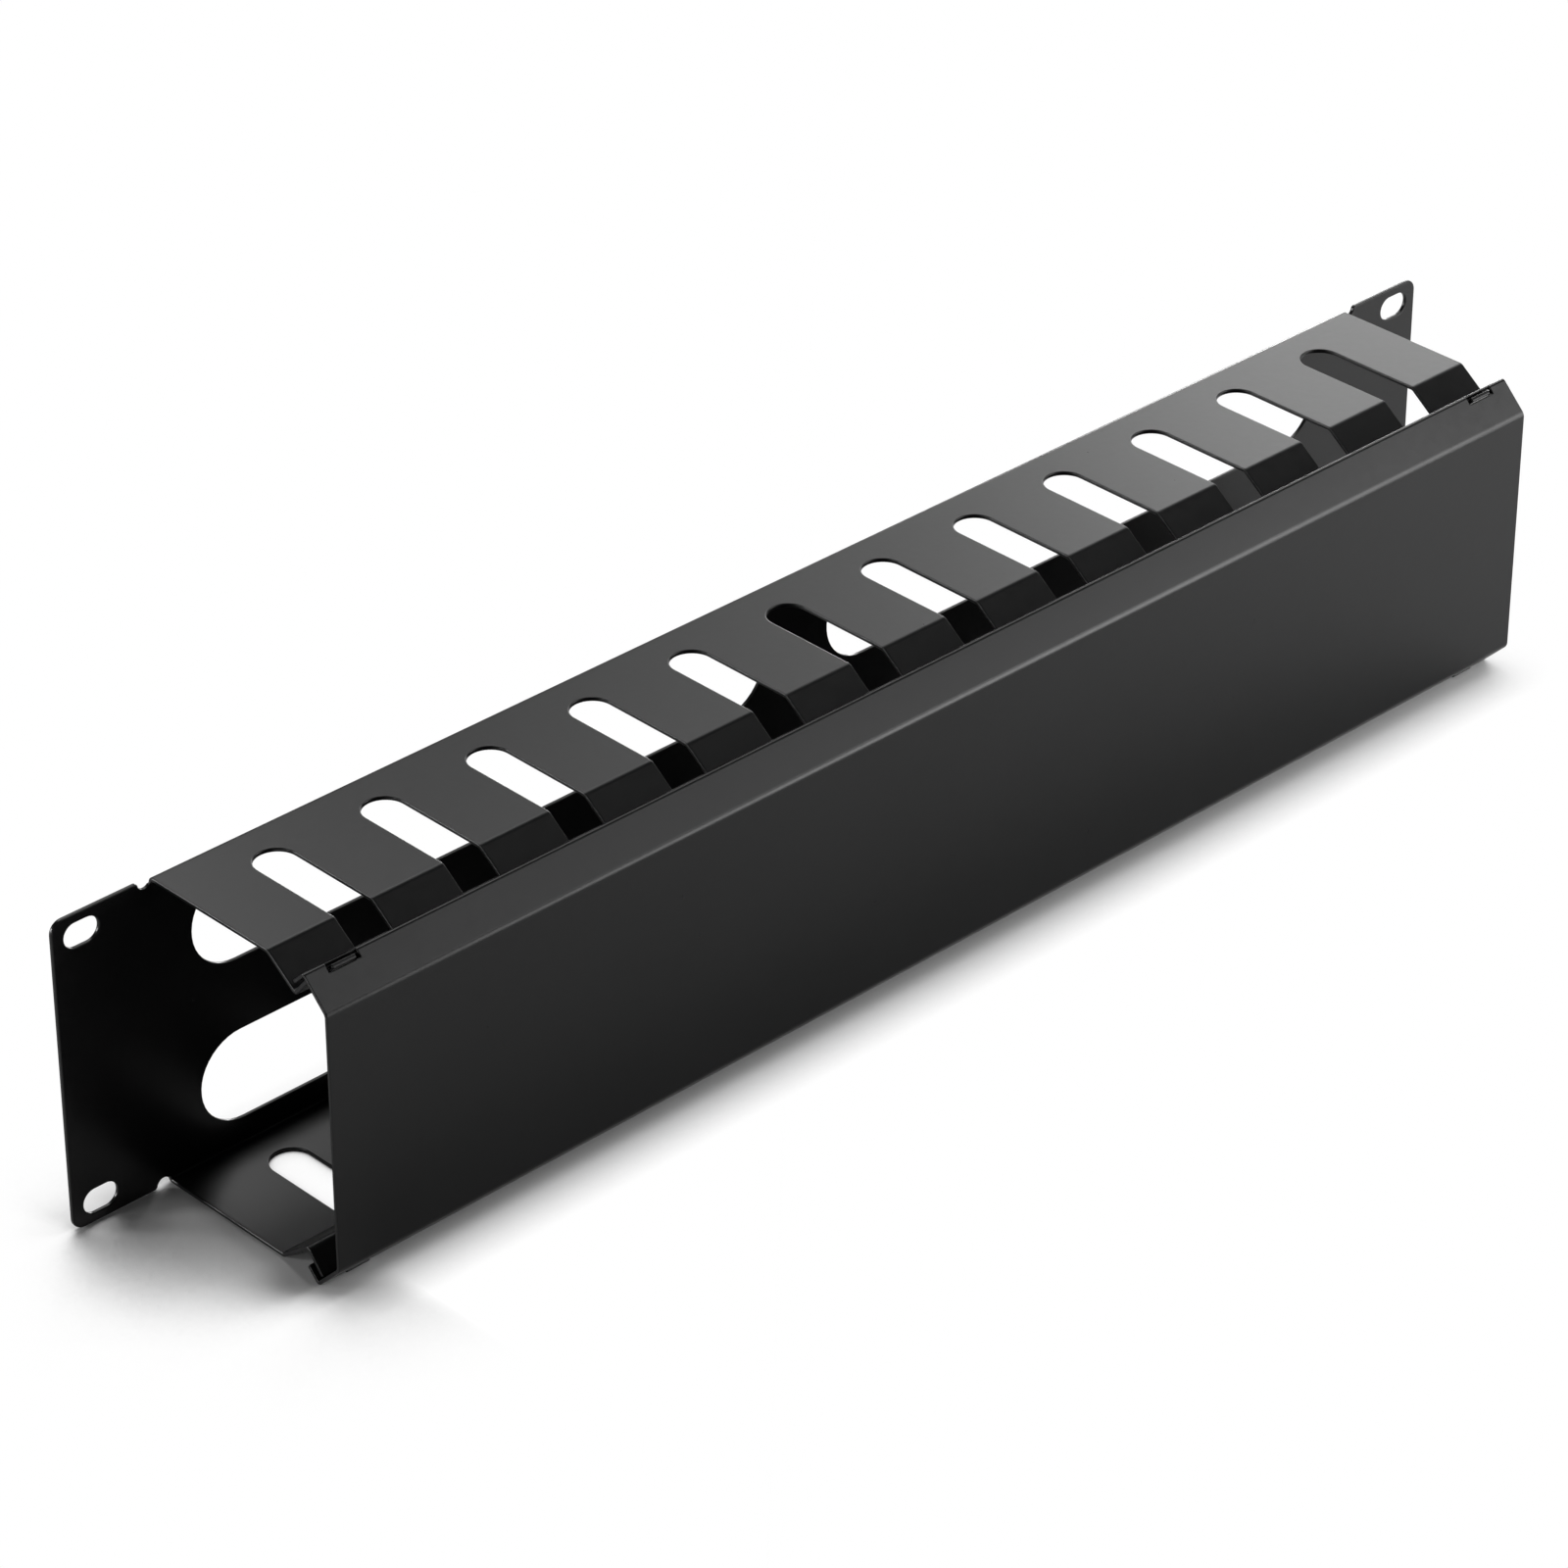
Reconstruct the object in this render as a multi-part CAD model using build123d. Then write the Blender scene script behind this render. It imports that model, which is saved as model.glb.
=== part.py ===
from build123d import *
import os
from math import cos, radians, sin

# Horizontal cable manager for a 19 inch rack, two rack units high.
# All sizes are in millimetres. X runs along the panel, Y to the rear and Z up.
# The origin is the centre of the panel's rear face, which bears on the rack rails.

# Panel with an ear at each end. The rack slots are placed by their middles, from the
# ear's side edge and from its top or bottom edge.
panel_width = 482.6
panel_height = 88.1
ear_width = 29.8
ear_corner = 3.5
rack_slot_length = 10.4
rack_slot_height = 6.8
rack_slot_from_side = 8.75
rack_slot_from_edge = 5.95

# Flanges and their hooked ends, folded from the panel's sheet. Their lengths run from sharp
# corner to sharp corner on the outside line, their angles are from the horizontal and their
# bend radii are inside ones.
sheet = 1.2
flange_depth = 44.1
lip_length = 11.6
lip_fall = 36.5
leg_length = 7.15
leg_rise = 50.5
rear_bend = 0.55
front_bend = 1.0
valley_bend = 0.4

# Bend reliefs between the flanges and the ears
relief_width = 3.9
relief_depth = 2.35
relief_corner = 1.0

# Finger slots through both flanges, lips and legs, open to the front
finger_slot_count = 12
finger_slot_width = 11.4
finger_slot_start = 10.2
end_finger_width = 20.45

# Webs of sheet round and between the four long windows in the panel
window_side_web = 11.2
window_edge_web = 8.25
window_middle_web = 22.4
window_row_web = 20.4

# Tabs on the four end fingers, which snap into the cover
tab_width = 7.2
tab_length = 1.7

# Cover, one folded steel sheet that hooks over the fingers
cover_sheet = 1.0
cover_overhang = 0.9
cover_slope = 11.6
cover_fall = 45.0
cover_bend = 1.6
hook_angle = 90.0
hook_bend = 0.1
hook_return = 5.5
hook_round = 0.35

# Clearances between the two sheets
leg_gap = 0.35
tip_gap = 0.3
tab_side_gap = 1.15
tab_front_gap = 0.2

# How far a cutting body runs past what it cuts
cut_past = 1.0


def ahead(rise):
    """Unit vector in the section plane that runs to the front and climbs at an angle."""
    return Vector(-cos(radians(rise)), sin(radians(rise)))


def outward(rise):
    """Outside normal, in the section plane, of a sheet that runs ahead at that angle."""
    return Vector(sin(radians(rise)), cos(radians(rise)))


def corner_shift(before, after):
    """From a fold's inside corner to its outside corner, for each unit of thickness."""
    return (before + after) * (1 / (1 + before.dot(after)))


def mirrored(points):
    """The same section points below the middle plane, in the opposite order."""
    return [Vector(point.X, -point.Y) for point in reversed(points)]


def nearest_vertices(shape, points):
    """The vertex of a shape that lies nearest to each point."""
    return [shape.vertices().sort_by_distance(point)[0] for point in points]


def nearest_edge(shape, place):
    """The edge of a shape that lies nearest to a place."""
    return shape.edges().sort_by_distance(place.position)[0]


def folded_section(corners, bends, thickness):
    """Section of a folded sheet that lies to the left of its outside line."""
    outside = FilletPolyline(*corners, radius=bends)
    return make_face(offset(outside, thickness, side=Side.LEFT))


def along_x(section, length):
    """Solid of a section in rear distance and height, centred on the middle of X."""
    return extrude(Plane.YZ * section, length / 2, both=True)


def through_panel(outline):
    """Cutting body of an outline in X and Z that passes through the panel."""
    return extrude(Plane.XZ * outline, sheet + cut_past, both=True)


def at_four_ends(solid):
    """The solid with its mirror images at both ends and at both flanges."""
    ends = [solid, mirror(solid, about=Plane.YZ)]
    return ends + [mirror(end, about=Plane.XY) for end in ends]


# The rack slots' pitch, the flanges' length, and what is shared out over that length
rack_slot_pitch_x = panel_width - 2 * rack_slot_from_side
rack_slot_pitch_z = panel_height - 2 * rack_slot_from_edge
flange_length = panel_width - 2 * ear_width
finger_slot_span = flange_length - 2 * end_finger_width - finger_slot_width
finger_slot_pitch = finger_slot_span / (finger_slot_count - 1)
window_length = (flange_length - 2 * window_side_web - window_middle_web) / 2
window_height = (panel_height - 2 * window_edge_web - window_row_web) / 2
window_pitch_x = window_length + window_middle_web
window_pitch_z = window_height + window_row_web

# Corner points of the chassis section above the middle, as rear distance and height
half_height = panel_height / 2
half_flange = flange_length / 2
rear_corner = Vector(0, half_height)
front_corner = Vector(-flange_depth, half_height)
valley = front_corner + ahead(-lip_fall) * lip_length
leg_tip = valley + ahead(leg_rise) * leg_length
leg_edge = leg_tip - outward(leg_rise) * sheet

# The cover is placed by its inside corner at the hook, which lies one gap behind the
# line of the leg, where the inside face of the slope is one gap above the leg's edge
slope_normal = outward(-cover_fall)
return_normal = outward(hook_angle - cover_fall)
slope_height = (leg_edge - valley).dot(slope_normal) + tip_gap
leg_reach = slope_height - outward(leg_rise).dot(slope_normal) * leg_gap
leg_reach = leg_reach / ahead(leg_rise).dot(slope_normal)
hook_inside = valley + ahead(leg_rise) * leg_reach + outward(leg_rise) * leg_gap
hook_corner = hook_inside + corner_shift(slope_normal, return_normal) * cover_sheet
cover_corner = hook_corner + ahead(-cover_fall) * cover_slope
return_tip = hook_corner - ahead(hook_angle - cover_fall) * hook_return

# The tabs stand in the middle of the end fingers
tab_place = half_flange - end_finger_width / 2


def ear_panel():
    """The flat panel with its ears and reliefs, less the strips that the bends take."""
    bend_strip = rear_bend + sheet
    relief_place = half_flange + relief_width / 2
    relief_middle = half_height + relief_width / 2 - relief_depth / 2
    mouth = half_flange + relief_width
    relief = SlotCenterToCenter(relief_depth, relief_width, rotation=90)
    strip = Rectangle(flange_length + relief_width, bend_strip)
    outline = RectangleRounded(panel_width, panel_height, ear_corner)
    outline -= GridLocations(2 * relief_place, 2 * relief_middle, 2, 2) * relief
    outline -= GridLocations(1, panel_height - bend_strip, 1, 2) * strip
    panel = extrude(Plane.XZ * outline, sheet)
    mouths = GridLocations(2 * mouth, panel_height, 2, 2)
    edges = [nearest_edge(panel, Plane.XZ * place * Pos(0, 0, sheet / 2)) for place in mouths]
    return fillet(edges, relief_corner)


def finger_slots():
    """Cutting bodies of the finger slots, with round ends to the rear."""
    reach = -leg_edge.X
    middle = -finger_slot_start - finger_slot_width / 2 - reach / 2
    slot = Pos(0, middle) * SlotCenterToCenter(reach, finger_slot_width, rotation=90)
    cutter = extrude(slot, half_height + cut_past, both=True)
    return GridLocations(finger_slot_pitch, 1, finger_slot_count, 1) * cutter


def panel_openings():
    """Cutting bodies of the rack slots in the ears and of the windows."""
    rack_slot = SlotOverall(rack_slot_length, rack_slot_height)
    window = SlotOverall(window_length, window_height)
    slots = GridLocations(rack_slot_pitch_x, rack_slot_pitch_z, 2, 2) * rack_slot
    windows = GridLocations(window_pitch_x, window_pitch_z, 2, 2) * window
    return [through_panel(opening) for opening in slots + windows]


def end_tab():
    """A tab that carries on the leg of an end finger through the cover's slot."""
    root = ahead(leg_rise) * sheet
    end = ahead(leg_rise) * tab_length
    section = Polygon(leg_tip - root, leg_tip + end, leg_edge + end, leg_edge - root, align=None)
    return Pos(tab_place, 0, 0) * along_x(section, tab_width)


def make_chassis():
    """The slotted chassis: panel with ears, two flanges, and fingers with hooked ends."""
    corners = [rear_corner, front_corner, valley, leg_tip]
    bends = [rear_bend + sheet, front_bend + sheet, valley_bend]
    section = folded_section(mirrored(corners) + corners, bends[::-1] + bends, sheet)
    chassis = along_x(section, flange_length) + ear_panel()
    chassis -= finger_slots()
    chassis -= panel_openings()
    return chassis + at_four_ends(end_tab())


def tab_slot():
    """Cutting body of the slot that lets a tab through the cover's slope."""
    reach = (leg_edge - hook_corner).dot(ahead(-cover_fall))
    reach += ahead(leg_rise).dot(ahead(-cover_fall)) * tip_gap + tab_front_gap
    slot_front = hook_corner + ahead(-cover_fall) * reach
    past = slope_normal * cut_past
    section = Polygon(
        hook_corner + Vector(0, cut_past),
        hook_inside - Vector(0, cut_past),
        slot_front - past - slope_normal * cover_sheet,
        slot_front + past,
        align=None,
    )
    return Pos(tab_place, 0, 0) * along_x(section, tab_width + 2 * tab_side_gap)


def make_cover():
    """The front cover: a flat front, two slopes, and returns that hook behind the legs."""
    corners = [return_tip, hook_corner, cover_corner]
    bends = [hook_bend + cover_sheet, cover_bend + cover_sheet]
    section = folded_section(corners + mirrored(corners), bends + bends[::-1], cover_sheet)
    ends = [return_tip, return_tip - return_normal * cover_sheet]
    section = fillet(nearest_vertices(section, ends + mirrored(ends)), hook_round)
    cover = along_x(section, flange_length + 2 * cover_overhang)
    return cover - at_four_ends(tab_slot())


os.makedirs("parts", exist_ok=True)
for name, solid in (("slotted_chassis", make_chassis()), ("front_cover", make_cover())):
    print(name, "solids:", len(solid.solids()), "volume:", round(solid.volume))
    export_step(solid, f"parts/{name}.step")
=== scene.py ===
"""Horizontal cable manager for a 19 inch rack: finish, light and camera around its frame.

The object is two folded sheets of powder-coated steel, the slotted chassis and the front
cover. Lengths are in metres, with X to the right, Y to the rear and Z up.
"""

import logging
import math
from dataclasses import dataclass, field
from enum import Enum

import bpy
from mathutils import Matrix, Vector

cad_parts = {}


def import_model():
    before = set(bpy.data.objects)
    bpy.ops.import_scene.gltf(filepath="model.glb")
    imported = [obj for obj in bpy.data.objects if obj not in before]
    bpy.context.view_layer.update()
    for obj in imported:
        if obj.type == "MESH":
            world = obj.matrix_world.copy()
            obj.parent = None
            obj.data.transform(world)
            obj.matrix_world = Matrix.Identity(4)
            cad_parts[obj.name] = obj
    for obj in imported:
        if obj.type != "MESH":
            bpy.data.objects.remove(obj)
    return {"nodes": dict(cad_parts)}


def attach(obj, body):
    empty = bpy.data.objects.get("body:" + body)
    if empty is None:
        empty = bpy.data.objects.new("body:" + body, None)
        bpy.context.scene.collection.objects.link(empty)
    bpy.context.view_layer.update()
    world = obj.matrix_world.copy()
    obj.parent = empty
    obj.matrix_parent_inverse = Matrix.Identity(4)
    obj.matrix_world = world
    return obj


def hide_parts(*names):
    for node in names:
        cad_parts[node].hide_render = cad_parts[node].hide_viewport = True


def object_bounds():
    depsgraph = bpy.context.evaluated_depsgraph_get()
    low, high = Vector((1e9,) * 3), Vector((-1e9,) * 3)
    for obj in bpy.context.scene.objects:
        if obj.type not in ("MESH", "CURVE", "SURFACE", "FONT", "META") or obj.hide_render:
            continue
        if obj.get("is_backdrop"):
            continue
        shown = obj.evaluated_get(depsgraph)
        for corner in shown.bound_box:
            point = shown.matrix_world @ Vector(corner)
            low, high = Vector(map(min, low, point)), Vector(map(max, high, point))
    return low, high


LOG = logging.getLogger("cable_manager")
MILLIMETRE = 0.001
WHITE = (1.0, 1.0, 1.0, 1.0)


class Sharpness(Enum):
    """Angle between two faces, in degrees, past which their edge counts as one of a kind.

    CUT_EDGE: a cut edge of the sheet, which the coat rounds.
    SHADED_EDGE: an edge that isn't shaded smooth.
    """

    CUT_EDGE = 60.0
    SHADED_EDGE = 40.0


@dataclass(frozen=True)
class PowderCoat:
    """Matt black powder coat with a fine, slightly uneven texture.

    Attributes:
        base: Linear colour of the coat.
        refraction: Refractive index of the coat.
        tint_range: How far the colour drifts between cloudy patches.
        roughness: Lowest and highest roughness of the coat.
        grain: Size of the coat's grain, in metres.
        grain_height: Height of the grain, in metres.
        grain_detail: Number of finer layers in the grain.
        swell: Size of the soft unevenness under the grain, in metres.
        swell_height: Height of that unevenness, in metres.
        swell_detail: Number of finer layers in that unevenness.
        patch: Size of the cloudy patches, in metres.
        patch_detail: Number of finer layers in the patches.
    """

    base: tuple[float, float, float] = (0.0065, 0.0065, 0.0068)
    refraction: float = 1.5
    tint_range: float = 0.25
    roughness: tuple[float, float] = (0.26, 0.34)
    grain: float = 0.45 * MILLIMETRE
    grain_height: float = 0.006 * MILLIMETRE
    grain_detail: float = 2.0
    swell: float = 2.6 * MILLIMETRE
    swell_height: float = 0.010 * MILLIMETRE
    swell_detail: float = 1.0
    patch: float = 35.0 * MILLIMETRE
    patch_detail: float = 3.0

    def build(self, name: str) -> bpy.types.Material:
        """Makes the coat's material.

        Args:
            name: The material's name.

        Returns:
            The new material.
        """
        material = bpy.data.materials.new(name)
        material.use_nodes = True
        nodes = material.node_tree.nodes
        links = material.node_tree.links
        shader = nodes["Principled BSDF"]
        shader.inputs["IOR"].default_value = self.refraction
        place = nodes.new("ShaderNodeTexCoord")

        patches = self.noise(nodes, self.patch, self.patch_detail)
        links.new(place.outputs["Object"], patches.inputs["Vector"])
        tint = nodes.new("ShaderNodeMix")
        tint.data_type = "RGBA"
        low = [channel * (1 - self.tint_range) for channel in self.base]
        high = [channel * (1 + self.tint_range) for channel in self.base]
        tint.inputs["A"].default_value = (*low, 1.0)
        tint.inputs["B"].default_value = (*high, 1.0)
        links.new(patches.outputs["Fac"], tint.inputs["Factor"])
        links.new(tint.outputs["Result"], shader.inputs["Base Color"])

        grain = self.noise(nodes, self.grain, self.grain_detail)
        swell = self.noise(nodes, self.swell, self.swell_detail)
        for texture in (grain, swell):
            links.new(place.outputs["Object"], texture.inputs["Vector"])

        rough = nodes.new("ShaderNodeMapRange")
        rough.inputs["To Min"].default_value = self.roughness[0]
        rough.inputs["To Max"].default_value = self.roughness[1]
        links.new(swell.outputs["Fac"], rough.inputs["Value"])
        links.new(rough.outputs["Result"], shader.inputs["Roughness"])

        uneven = self.bump(nodes, self.swell_height)
        links.new(swell.outputs["Fac"], uneven.inputs["Height"])
        grainy = self.bump(nodes, self.grain_height)
        links.new(grain.outputs["Fac"], grainy.inputs["Height"])
        links.new(uneven.outputs["Normal"], grainy.inputs["Normal"])
        links.new(grainy.outputs["Normal"], shader.inputs["Normal"])
        return material

    @staticmethod
    def noise(nodes: bpy.types.Nodes, size: float, detail: float) -> bpy.types.Node:
        """Adds a noise texture whose features have a given size.

        Args:
            nodes: The nodes that the texture joins.
            size: Size of a feature, in metres.
            detail: Number of finer layers.

        Returns:
            The texture node.
        """
        texture = nodes.new("ShaderNodeTexNoise")
        texture.inputs["Scale"].default_value = 1.0 / size
        texture.inputs["Detail"].default_value = detail
        return texture

    @staticmethod
    def bump(nodes: bpy.types.Nodes, height: float) -> bpy.types.Node:
        """Adds a bump node of a given height.

        Args:
            nodes: The nodes that the bump joins.
            height: Height between the lowest and the highest point, in metres.

        Returns:
            The bump node.
        """
        bump = nodes.new("ShaderNodeBump")
        bump.inputs["Strength"].default_value = 1.0
        bump.inputs["Distance"].default_value = height
        return bump


@dataclass(frozen=True)
class NearShadow:
    """How far the object's shadow shows on the white paper, from what hides a point there.

    Attributes:
        reach: How far from a point the object still counts as near, in metres.
        lean: Direction about which a point of the paper looks for the object.
        open_share: Open share at which the shadow is full, and at which it ends.
        fade: Power that shapes the way between the two.
        rays: Number of rays that look for the object.
    """

    reach: float
    lean: tuple[float, float, float]
    open_share: tuple[float, float]
    fade: float
    rays: int

    def build(self, nodes: bpy.types.Nodes, links: bpy.types.NodeLinks) -> bpy.types.NodeSocket:
        """Adds the shadow's nodes.

        Args:
            nodes: The nodes that they join.
            links: The links between the nodes.

        Returns:
            The socket that is 0 in the full shadow and 1 outside it.
        """
        near = nodes.new("ShaderNodeAmbientOcclusion")
        near.samples = self.rays
        near.inputs["Distance"].default_value = self.reach
        lean = nodes.new("ShaderNodeCombineXYZ")
        for socket, part in zip(lean.inputs, Vector(self.lean).normalized()):
            socket.default_value = part
        links.new(lean.outputs["Vector"], near.inputs["Normal"])
        share = nodes.new("ShaderNodeMapRange")
        share.inputs["From Min"].default_value = self.open_share[0]
        share.inputs["From Max"].default_value = self.open_share[1]
        links.new(near.outputs["AO"], share.inputs["Value"])
        fade = nodes.new("ShaderNodeMath")
        fade.operation = "POWER"
        fade.inputs[1].default_value = self.fade
        links.new(share.outputs["Result"], fade.inputs[0])
        return fade.outputs["Value"]


@dataclass(frozen=True)
class StudioPaper:
    """White paper under the object, which keeps the shadow and is white to the camera.

    Near the object the camera sees the paper as the lamps light it, shadow and all, and
    farther out it sees plain white.

    Attributes:
        colour: Linear colour of the paper where light falls on it.
        contact: Narrow shadow all round the object.
        cast: Wide shadow beside the channel's left end.
        cast_from: Place along X where the cast shadow starts to end, in metres.
        cast_blend: Width over which it ends, under the object, in metres.
    """

    colour: tuple[float, float, float] = (0.80, 0.80, 0.80)
    contact: NearShadow = NearShadow(0.015, (0.0, 0.0, 1.0), (0.35, 1.0), 0.7, 4)
    cast: NearShadow = NearShadow(0.126, (0.8, 0.0, 0.6), (0.52, 0.73), 1.0, 24)
    cast_from: float = -0.2095
    cast_blend: float = 0.014

    def build(self, name: str) -> bpy.types.Material:
        """Makes the paper's material.

        Args:
            name: The material's name.

        Returns:
            The new material.
        """
        material = bpy.data.materials.new(name)
        material.use_nodes = True
        nodes = material.node_tree.nodes
        links = material.node_tree.links
        nodes.clear()
        paper = nodes.new("ShaderNodeBsdfDiffuse")
        paper.inputs["Color"].default_value = (*self.colour, 1.0)
        white = nodes.new("ShaderNodeEmission")
        white.inputs["Color"].default_value = WHITE

        place = nodes.new("ShaderNodeTexCoord")
        along = nodes.new("ShaderNodeSeparateXYZ")
        links.new(place.outputs["Object"], along.inputs["Vector"])
        beside = nodes.new("ShaderNodeMapRange")
        beside.inputs["From Min"].default_value = self.cast_from
        beside.inputs["From Max"].default_value = self.cast_from + self.cast_blend
        links.new(along.outputs["X"], beside.inputs["Value"])
        cast = nodes.new("ShaderNodeMath")
        cast.operation = "MAXIMUM"
        links.new(beside.outputs["Result"], cast.inputs[0])
        links.new(self.cast.build(nodes, links), cast.inputs[1])
        lit = nodes.new("ShaderNodeMath")
        lit.operation = "MULTIPLY"
        links.new(self.contact.build(nodes, links), lit.inputs[0])
        links.new(cast.outputs["Value"], lit.inputs[1])

        seen = seen_directly(nodes, links)
        share = nodes.new("ShaderNodeMath")
        share.operation = "MULTIPLY"
        links.new(lit.outputs["Value"], share.inputs[0])
        links.new(seen, share.inputs[1])
        mix = nodes.new("ShaderNodeMixShader")
        links.new(share.outputs["Value"], mix.inputs["Fac"])
        links.new(paper.outputs["BSDF"], mix.inputs[1])
        links.new(white.outputs["Emission"], mix.inputs[2])
        output = nodes.new("ShaderNodeOutputMaterial")
        links.new(mix.outputs["Shader"], output.inputs["Surface"])
        return material


def seen_directly(nodes: bpy.types.Nodes, links: bpy.types.NodeLinks) -> bpy.types.NodeSocket:
    """Adds the nodes that tell what the camera sees, also through glass.

    Args:
        nodes: The nodes that they join.
        links: The links between the nodes.

    Returns:
        The socket that is 1 for what the camera sees and 0 for light on the object.
    """
    path = nodes.new("ShaderNodeLightPath")
    seen = nodes.new("ShaderNodeMath")
    seen.operation = "MAXIMUM"
    links.new(path.outputs["Is Camera Ray"], seen.inputs[0])
    links.new(path.outputs["Is Transmission Ray"], seen.inputs[1])
    return seen.outputs["Value"]


@dataclass
class FoldedSheet:
    """One folded sheet of the object, dressed over its CAD node.

    Attributes:
        node: Name of the CAD node that holds the sheet's form.
        body: Name of the body that the sheet rides on.
        piece: Name of the dressed piece.
        slot: Name of a material slot for the finish; not used.
        edge_radius: Radius of the coated cut edges, in metres.
        edge_segments: Number of faces across such an edge.
        weld: Distance under which doubled points are merged, in metres.
        flat_angle: Angle in degrees under which faces count as one flat face.
        flat_weight: How much the large faces outweigh the small ones in the shading.
    """

    node: str
    body: str
    piece: str
    slot: str = "powder_coated_steel"
    edge_radius: float = 0.35 * MILLIMETRE
    edge_segments: int = 3
    weld: float = 0.002 * MILLIMETRE
    flat_angle: float = 0.5
    flat_weight: int = 100

    def copy_node(self, source: bpy.types.Object) -> bpy.types.Object:
        """Copies the node's mesh into a new object.

        Args:
            source: The CAD node's object.

        Returns:
            The new object, selected and active.
        """
        bpy.ops.object.select_all(action="DESELECT")
        copy = bpy.data.objects.new(self.piece, source.data.copy())
        copy.data.name = self.piece
        copy.data.materials.clear()
        bpy.context.scene.collection.objects.link(copy)
        copy.select_set(True)
        bpy.context.view_layer.objects.active = copy
        return copy

    def clean(self) -> None:
        """Merges the node's loose triangles and joins those that lie in one plane."""
        bpy.ops.object.mode_set(mode="EDIT")
        bpy.ops.mesh.select_mode(type="EDGE")
        bpy.ops.mesh.select_all(action="SELECT")
        bpy.ops.mesh.remove_doubles(threshold=self.weld)
        bpy.ops.mesh.dissolve_limited(angle_limit=math.radians(self.flat_angle))
        bpy.ops.object.mode_set(mode="OBJECT")

    def round_edges(self) -> None:
        """Rounds the cut edges, as the coat does."""
        bpy.ops.object.mode_set(mode="EDIT")
        bpy.ops.mesh.select_all(action="DESELECT")
        bpy.ops.mesh.edges_select_sharp(sharpness=math.radians(Sharpness.CUT_EDGE.value))
        bpy.ops.mesh.bevel(
            offset=self.edge_radius,
            segments=self.edge_segments,
            affect="EDGES",
            clamp_overlap=False,
        )
        bpy.ops.object.mode_set(mode="OBJECT")

    def shade(self, piece: bpy.types.Object) -> None:
        """Smooths bends and round edges, and keeps the flat faces flat.

        Args:
            piece: The piece's object, selected and active.
        """
        bpy.ops.object.shade_smooth_by_angle(angle=math.radians(Sharpness.SHADED_EDGE.value))
        weighted = piece.modifiers.new("flat faces", "WEIGHTED_NORMAL")
        weighted.keep_sharp = True
        weighted.weight = self.flat_weight
        bpy.ops.object.modifier_apply(modifier=weighted.name)

    def dress(self, source: bpy.types.Object, coat: bpy.types.Material) -> bpy.types.Object:
        """Makes the dressed piece in place of its CAD node.

        Args:
            source: The CAD node's object.
            coat: The coat's material.

        Returns:
            The dressed piece.
        """
        piece = self.copy_node(source)
        self.clean()
        self.round_edges()
        self.shade(piece)
        piece.data.materials.append(coat)
        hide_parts(self.node)
        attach(piece, self.body)
        LOG.info("%s: %d faces", self.piece, len(piece.data.polygons))
        return piece


@dataclass
class SlottedChassis(FoldedSheet):
    """The panel with its ears, the two flanges and their hooked fingers."""

    node: str = "slotted_chassis"
    body: str = "chassis"
    piece: str = "chassis_sheet"


@dataclass
class FrontCover(FoldedSheet):
    """The clip-on front with its slopes and returns."""

    node: str = "front_cover"
    body: str = "cover"
    piece: str = "cover_sheet"
    edge_radius: float = 0.28 * MILLIMETRE


@dataclass(frozen=True)
class Softbox:
    """A rectangular soft lamp that points at the object.

    Attributes:
        name: The lamp's name.
        azimuth: Direction of the lamp from the object, in degrees, as in a camera view.
        elevation: Height angle of the lamp, in degrees.
        power: Power, in watts.
        distance: Distance from the point that it faces, in metres.
        width: Width and height of the lamp, in metres.
        aim: Point that the lamp faces.
    """

    name: str
    azimuth: float
    elevation: float
    power: float
    distance: float = 2.2
    width: float = 0.9
    aim: tuple[float, float, float] = (0.0, 0.0, 0.0)

    def build(self) -> bpy.types.Object:
        """Adds the lamp to the scene.

        Returns:
            The lamp's object.
        """
        away = view_direction(self.azimuth, self.elevation)
        bpy.ops.object.light_add(type="AREA", location=Vector(self.aim) + away * self.distance)
        lamp = bpy.context.object
        lamp.name = self.name
        lamp.rotation_euler = away.to_track_quat("Z", "Y").to_euler()
        lamp.data.shape = "SQUARE"
        lamp.data.size = self.width
        lamp.data.energy = self.power
        lamp.visible_camera = False
        return lamp


@dataclass(frozen=True)
class EdgeSoftbox(Softbox):
    """A smaller lamp near the floor, which draws light lines on the cut edges."""

    width: float = 0.5


@dataclass(frozen=True)
class CoverSoftbox(Softbox):
    """A small near lamp that faces the right part of the cover."""

    distance: float = 0.65
    width: float = 0.35
    aim: tuple[float, float, float] = (0.2, -0.03, 0.0)


@dataclass(frozen=True)
class RightEndSoftbox(CoverSoftbox):
    """A small near lamp behind the right end, which faces the flange there."""

    aim: tuple[float, float, float] = (0.2, 0.0, 0.0)


def view_direction(azimuth: float, elevation: float) -> Vector:
    """Unit vector from the object to a viewer.

    Args:
        azimuth: Angle in degrees. At 0 the viewer looks along +Y, with +X to the right.
        elevation: Height angle in degrees.

    Returns:
        The unit vector.
    """
    turn = math.radians(azimuth)
    rise = math.radians(elevation)
    flat = Vector((math.sin(turn), -math.cos(turn), 0.0)) * math.cos(rise)
    return flat + Vector((0.0, 0.0, math.sin(rise)))


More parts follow.
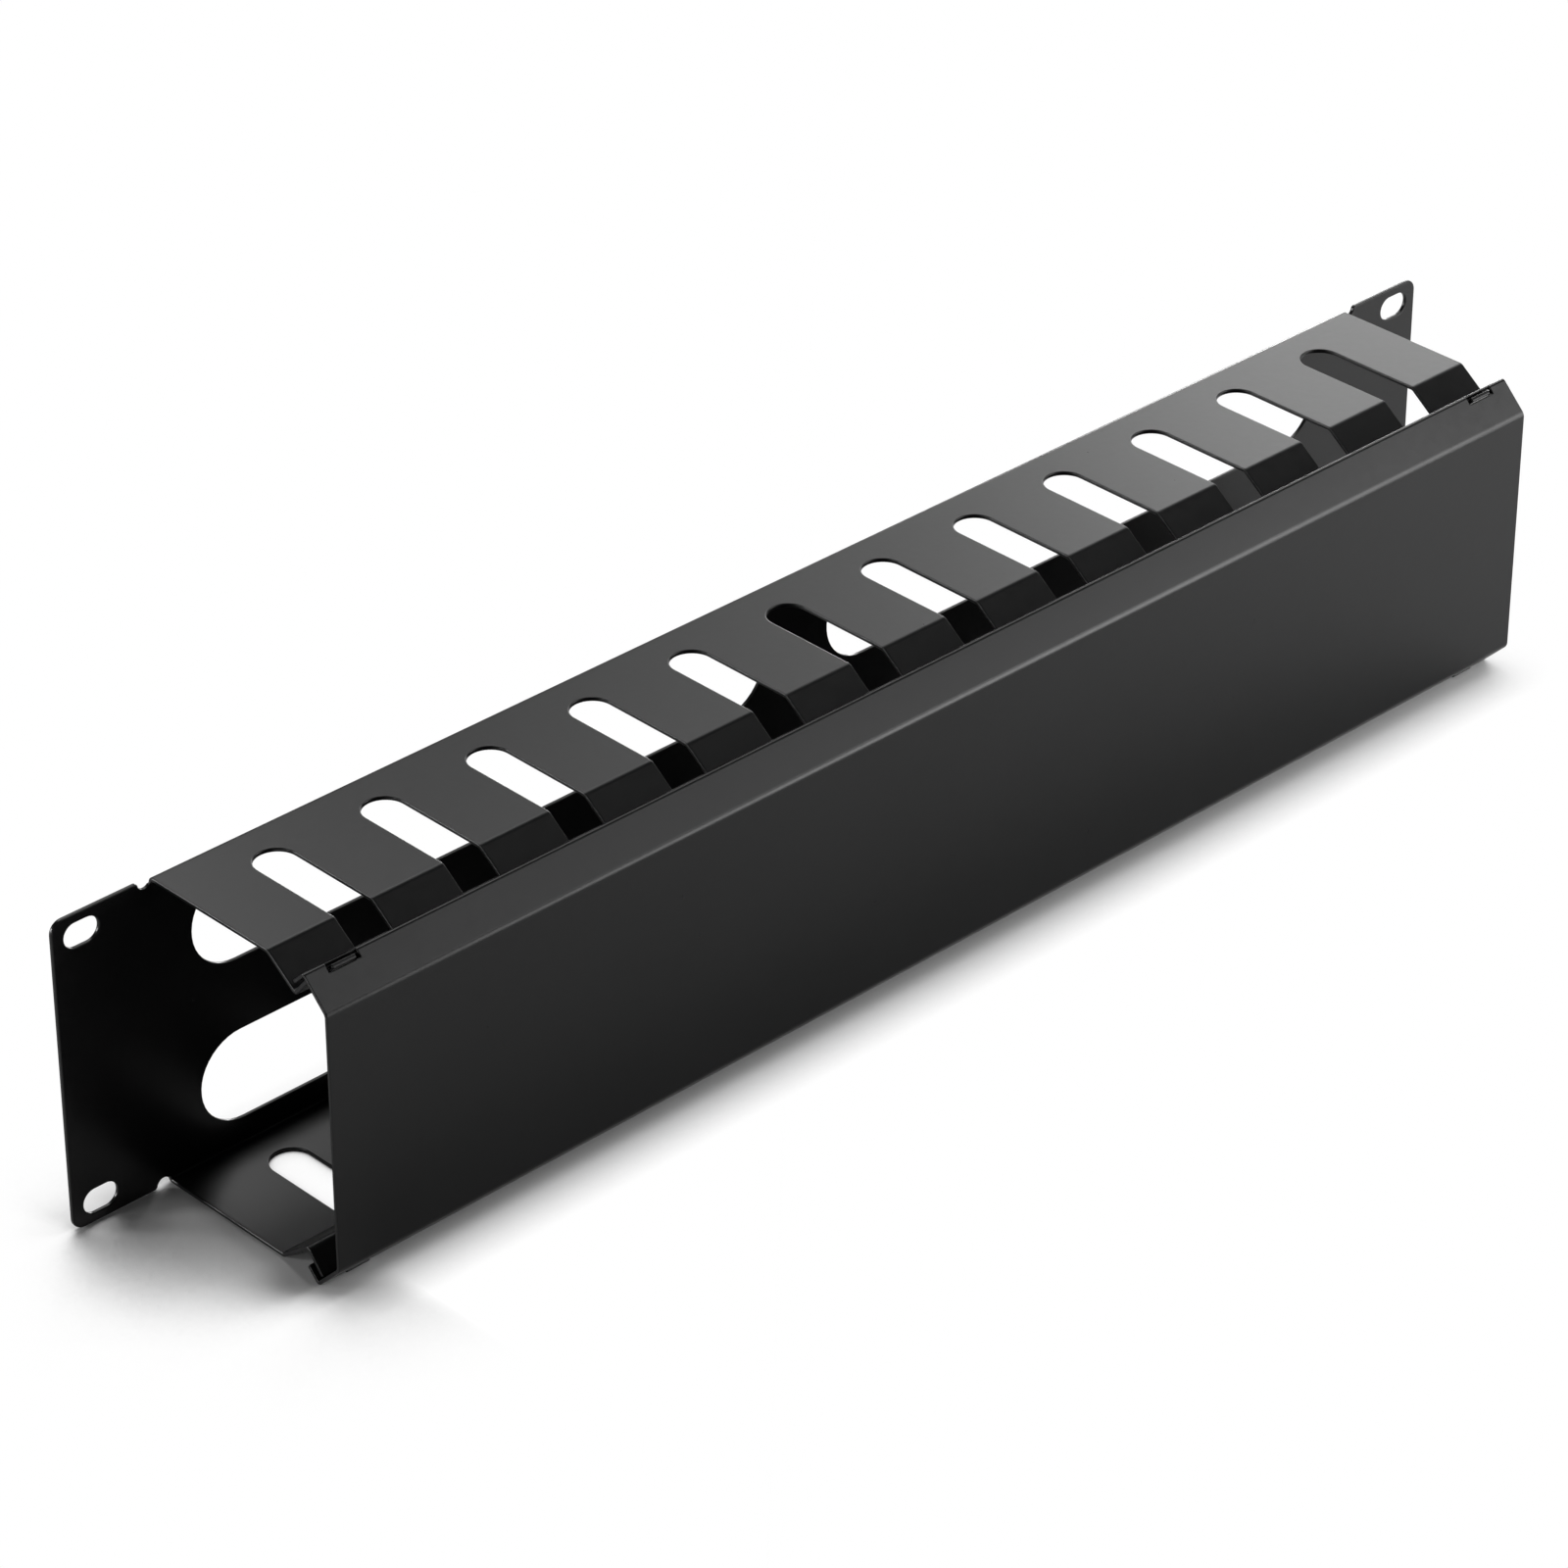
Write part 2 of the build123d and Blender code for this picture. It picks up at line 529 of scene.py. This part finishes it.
@dataclass
class Studio:
    """Paper ground, soft lamps and the camera at the photograph's angle.

    Attributes:
        azimuth: Camera's azimuth, in degrees.
        elevation: Camera's elevation, in degrees.
        distance: Camera's distance, in metres.
        offset_right: Sideways shift of the camera in its own plane, in metres.
        offset_up: Upward shift of the camera in its own plane, in metres.
        focal_pixels: Focal length in pixels of the photograph's frame.
        frame_pixels: Width of the photograph's square frame.
        sensor: Width of the camera's sensor, in millimetres.
        ground_size: Width of the paper, in metres.
        sky: Grey level of the room that lights the object.
        softboxes: The lamps.
    """

    azimuth: float = -43.841
    elevation: float = 31.580
    distance: float = 1.55099
    offset_right: float = -0.00234
    offset_up: float = -0.01755
    focal_pixels: float = 6066.5
    frame_pixels: float = 1600.0
    sensor: float = 36.0
    ground_size: float = 12.0
    sky: float = 0.02
    softboxes: list[Softbox] = field(
        default_factory=lambda: [
            Softbox("rear_right_low", 110.0, 8.0, 2.6),
            Softbox("rear_right_mid", 110.0, 24.0, 2.6),
            Softbox("rear_right", 128.0, 40.0, 2.6),
            Softbox("rear_right_high", 144.0, 62.0, 4.1),
            EdgeSoftbox("rear_edge", 130.0, 7.0, 10.0),
            Softbox("rear", 162.0, 40.0, 5.2),
            Softbox("rear_high", 162.0, 62.0, 6.3),
            RightEndSoftbox("right_end", 125.0, 20.0, 0.38),
            RightEndSoftbox("right_end_high", 118.0, 35.0, 0.35),
            RightEndSoftbox("right_end_front", 100.0, 30.0, 0.20),
            Softbox("front_right", 50.0, 24.0, 2.9),
            Softbox("front_high", 35.0, 40.0, 3.3),
            CoverSoftbox("front_low", 15.0, 5.0, 1.2),
            CoverSoftbox("front_low_right", 30.0, 10.0, 0.86),
            CoverSoftbox("front_near", 40.0, 25.0, 0.63),
            CoverSoftbox("front_bend", 45.0, 3.0, 0.46),
            EdgeSoftbox("left_rear_edges", -129.0, 7.0, 18.0),
            EdgeSoftbox("left_front_edges", -94.0, 7.0, 10.0),
        ]
    )

    def add_ground(self, lowest: float) -> bpy.types.Object:
        """Lays the paper under the object.

        Args:
            lowest: Height of the object's lowest point.

        Returns:
            The paper's object.
        """
        bpy.ops.mesh.primitive_plane_add(size=self.ground_size, location=(0.0, 0.0, lowest))
        ground = bpy.context.object
        ground.name = "paper_ground"
        bpy.ops.object.transform_apply(location=True, rotation=True, scale=True)
        ground.data.materials.append(StudioPaper().build("studio_paper"))
        ground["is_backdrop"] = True
        return ground

    def add_room(self) -> None:
        """Sets the room: even grey light for the object, white for the camera."""
        world = bpy.data.worlds.new("studio_room")
        world.use_nodes = True
        bpy.context.scene.world = world
        nodes = world.node_tree.nodes
        links = world.node_tree.links
        room = nodes["Background"]
        room.inputs["Color"].default_value = WHITE
        level = nodes.new("ShaderNodeMapRange")
        level.inputs["To Min"].default_value = self.sky
        level.inputs["To Max"].default_value = 1.0
        links.new(seen_directly(nodes, links), level.inputs["Value"])
        links.new(level.outputs["Result"], room.inputs["Strength"])

    def add_camera(self) -> bpy.types.Object:
        """Places the camera.

        Returns:
            The camera's object.
        """
        back = view_direction(self.azimuth, self.elevation)
        turn = math.radians(self.azimuth)
        right = Vector((math.cos(turn), math.sin(turn), 0.0))
        up = back.cross(right)
        place = back * self.distance + right * self.offset_right + up * self.offset_up
        data = bpy.data.cameras.new("photo_camera")
        data.sensor_width = self.sensor
        data.lens = self.focal_pixels / self.frame_pixels * self.sensor
        camera = bpy.data.objects.new("photo_camera", data)
        bpy.context.scene.collection.objects.link(camera)
        turned = Matrix((right, up, back)).transposed()
        camera.matrix_world = Matrix.Translation(place) @ turned.to_4x4()
        bpy.context.scene.camera = camera
        return camera

    def build(self, lowest: float) -> None:
        """Builds the whole studio.

        Args:
            lowest: Height of the object's lowest point.
        """
        self.add_ground(lowest)
        self.add_room()
        for softbox in self.softboxes:
            softbox.build()
        self.add_camera()
        bpy.context.scene.view_settings.view_transform = "Standard"
        LOG.info("studio: %d lamps", len(self.softboxes))


def main() -> None:
    """Loads the frame, dresses both sheets and sets up the studio."""
    logging.basicConfig(level=logging.INFO, format="%(name)s: %(message)s")
    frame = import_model()
    cad_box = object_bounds()
    coat = PowderCoat().build("powder_coat")
    for sheet in (SlottedChassis(), FrontCover()):
        sheet.dress(frame["nodes"][sheet.node], coat)
    Studio().build(cad_box[0][2])


if __name__ == "__main__":
    main()
